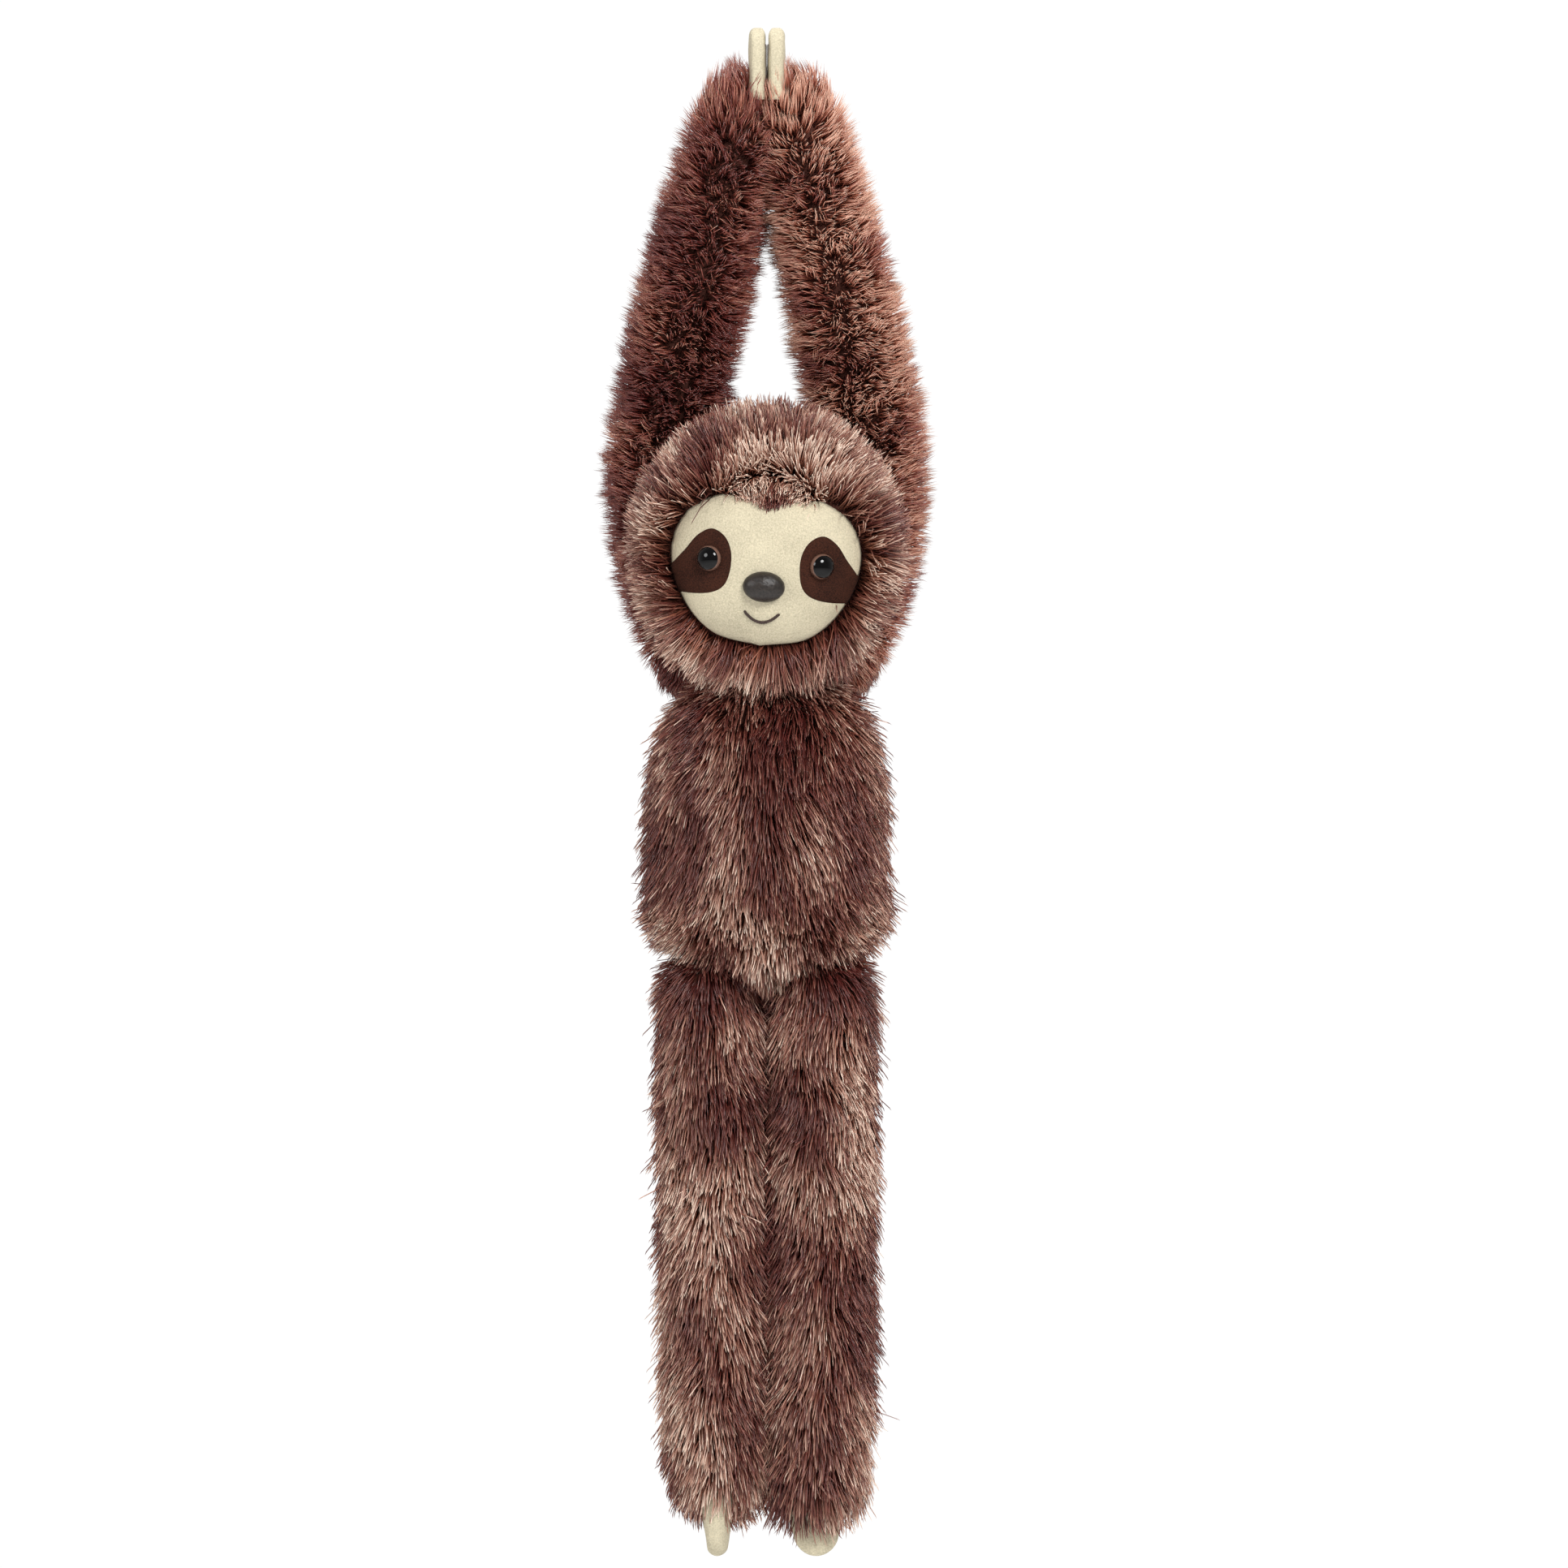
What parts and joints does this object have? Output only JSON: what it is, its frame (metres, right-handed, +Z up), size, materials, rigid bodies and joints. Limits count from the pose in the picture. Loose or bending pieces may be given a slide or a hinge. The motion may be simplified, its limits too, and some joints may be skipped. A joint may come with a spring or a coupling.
{
  "type": "hanging sloth soft toy",
  "caption": "Long-armed hanging sloth soft toy in long brown pile with a cream face and claw mitts, and hands that close in a loop with hook-and-loop pads.",
  "frame": {"origin": "the crown of the loop that the raised arms make, where a rail or a wrist bears", "axes": "+Z up, -Y the way that the face looks, +X to the right as seen from the front"},
  "size_m": [0.0978, 0.0892, 0.5273],
  "materials": {
    "pile_fabric": "long-pile plush",
    "cream_fabric": "short-pile plush",
    "patch_fabric": "short-pile plush",
    "stuffing": "loose fibre",
    "pellets": "matte",
    "eye_plastic": "gloss",
    "nose_plastic": "grained",
    "washer_plastic": "matte",
    "thread": "twisted thread",
    "closure_pad": "hook and loop"
  },
  "bodies": {
    "torso": {"torso_cover": "pile_fabric", "torso_stuffing": "stuffing", "pellet_pouch": "pellets"},
    "neck": {"neck_gather": "pile_fabric"},
    "head": {"head_cover": "pile_fabric", "face_panel": "cream_fabric", "head_stuffing": "stuffing", "left_eye_patch": "patch_fabric", "right_eye_patch": "patch_fabric", "left_eye": "eye_plastic", "right_eye": "eye_plastic", "left_eye_washer": "washer_plastic", "right_eye_washer": "washer_plastic", "nose": "nose_plastic", "nose_washer": "washer_plastic", "mouth_stitching": "thread"},
    "left_shoulder": {"left_arm_gather": "pile_fabric"},
    "left_upper_arm": {"left_upper_arm_cover": "pile_fabric", "left_upper_arm_stuffing": "stuffing"},
    "left_forearm": {"left_forearm_cover": "pile_fabric", "left_forearm_stuffing": "stuffing"},
    "left_hand": {"left_hand_mitt": "cream_fabric", "left_hand_batting": "stuffing", "hook_pad": "closure_pad"},
    "left_hip": {"left_leg_gather": "pile_fabric"},
    "left_thigh": {"left_thigh_cover": "pile_fabric", "left_thigh_stuffing": "stuffing"},
    "left_shin": {"left_shin_cover": "pile_fabric", "left_shin_stuffing": "stuffing"},
    "left_foot": {"left_foot_mitt": "cream_fabric", "left_foot_batting": "stuffing"},
    "right_shoulder": {"right_arm_gather": "pile_fabric"},
    "right_upper_arm": {"right_upper_arm_cover": "pile_fabric", "right_upper_arm_stuffing": "stuffing"},
    "right_forearm": {"right_forearm_cover": "pile_fabric", "right_forearm_stuffing": "stuffing"},
    "right_hand": {"right_hand_mitt": "cream_fabric", "right_hand_batting": "stuffing", "loop_pad": "closure_pad"},
    "right_hip": {"right_leg_gather": "pile_fabric"},
    "right_thigh": {"right_thigh_cover": "pile_fabric", "right_thigh_stuffing": "stuffing"},
    "right_shin": {"right_shin_cover": "pile_fabric", "right_shin_stuffing": "stuffing"},
    "right_foot": {"right_foot_mitt": "cream_fabric", "right_foot_batting": "stuffing"}
  },
  "joints": [
    {"name": "neck_turn", "type": "hinge", "parent": "torso", "child": "neck", "pos_m": [0, -0.006, -0.13794], "axis": [0, 0, 1], "range_deg": [-19, 19]},
    {"name": "head_nod", "type": "hinge", "parent": "neck", "child": "head", "pos_m": [0, -0.006, -0.13794], "axis": [1, 0, 0], "range_deg": [-4, 25]},
    {"name": "left_arm_back", "type": "hinge", "parent": "torso", "child": "left_shoulder", "pos_m": [-0.026, 0.012, -0.14494], "axis": [-1, 0, 0], "range_deg": [0, 45]},
    {"name": "left_arm_out", "type": "hinge", "parent": "left_shoulder", "child": "left_upper_arm", "pos_m": [-0.026, 0.012, -0.14494], "axis": [0, -1, 0], "range_deg": [0, 125]},
    {"name": "left_elbow", "type": "hinge", "parent": "left_upper_arm", "child": "left_forearm", "pos_m": [-0.03227, 0.02106, -0.04295], "axis": [1, 0, 0], "range_deg": [-30, 75]},
    {"name": "left_wrist", "type": "hinge", "parent": "left_forearm", "child": "left_hand", "pos_m": [-0.0041, 0.002, 0.05806], "axis": [0, -1, 0], "range_deg": [0, 70]},
    {"name": "left_leg_forward", "type": "hinge", "parent": "torso", "child": "left_hip", "pos_m": [-0.0195, 0, -0.24344], "axis": [-1, 0, 0], "range_deg": [-30, 90]},
    {"name": "left_leg_out", "type": "hinge", "parent": "left_hip", "child": "left_thigh", "pos_m": [-0.0195, 0, -0.24344], "axis": [0, 1, 0], "range_deg": [0, 35]},
    {"name": "left_knee", "type": "hinge", "parent": "left_thigh", "child": "left_shin", "pos_m": [-0.01825, 0, -0.33269], "axis": [1, 0, 0], "range_deg": [-30, 75]},
    {"name": "left_ankle", "type": "hinge", "parent": "left_shin", "child": "left_foot", "pos_m": [-0.017, 0, -0.42194], "axis": [0.1736, 0.9848, 0], "range_deg": [-35, 35]},
    {"name": "right_arm_back", "type": "hinge", "parent": "torso", "child": "right_shoulder", "pos_m": [0.026, 0.012, -0.14494], "axis": [-1, 0, 0], "range_deg": [0, 45]},
    {"name": "right_arm_out", "type": "hinge", "parent": "right_shoulder", "child": "right_upper_arm", "pos_m": [0.026, 0.012, -0.14494], "axis": [0, 1, 0], "range_deg": [0, 125]},
    {"name": "right_elbow", "type": "hinge", "parent": "right_upper_arm", "child": "right_forearm", "pos_m": [0.03227, 0.02106, -0.04295], "axis": [1, 0, 0], "range_deg": [-30, 75]},
    {"name": "right_wrist", "type": "hinge", "parent": "right_forearm", "child": "right_hand", "pos_m": [0.0041, 0.002, 0.05806], "axis": [0, 1, 0], "range_deg": [0, 70]},
    {"name": "right_leg_forward", "type": "hinge", "parent": "torso", "child": "right_hip", "pos_m": [0.0195, 0, -0.24344], "axis": [-1, 0, 0], "range_deg": [-30, 90]},
    {"name": "right_leg_out", "type": "hinge", "parent": "right_hip", "child": "right_thigh", "pos_m": [0.0195, 0, -0.24344], "axis": [0, -1, 0], "range_deg": [0, 35]},
    {"name": "right_knee", "type": "hinge", "parent": "right_thigh", "child": "right_shin", "pos_m": [0.01825, 0, -0.33269], "axis": [1, 0, 0], "range_deg": [-30, 75]},
    {"name": "right_ankle", "type": "hinge", "parent": "right_shin", "child": "right_foot", "pos_m": [0.017, 0, -0.42194], "axis": [1, 0, 0], "range_deg": [-35, 35]}
  ]
}
